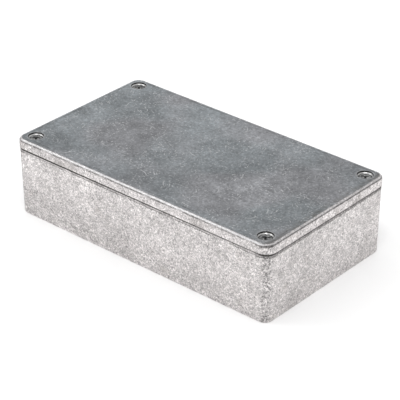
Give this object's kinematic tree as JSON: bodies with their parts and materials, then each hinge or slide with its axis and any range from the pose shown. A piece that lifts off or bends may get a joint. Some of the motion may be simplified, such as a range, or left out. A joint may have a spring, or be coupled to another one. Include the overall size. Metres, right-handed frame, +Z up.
{
  "type": "die cast aluminium box",
  "caption": "Small rectangular cast metal enclosure for electronics, with a ground flat lid held on by countersunk screws in its corners.",
  "frame": {"origin": "centre of the underside of the base, where the box stands", "axes": "+X along the length, +Y along the width towards the back, +Z up through the lid"},
  "size_m": [0.115, 0.064, 0.03],
  "materials": {
    "cast_aluminium": "matt tumbled casting",
    "ground_aluminium": "matt ground face",
    "screw_steel": "bright plated steel"
  },
  "bodies": {
    "root": {"base": "cast_aluminium", "lid": "ground_aluminium", "screw_front_left": "screw_steel", "screw_front_right": "screw_steel", "screw_back_left": "screw_steel", "screw_back_right": "screw_steel"}
  },
  "joints": []
}
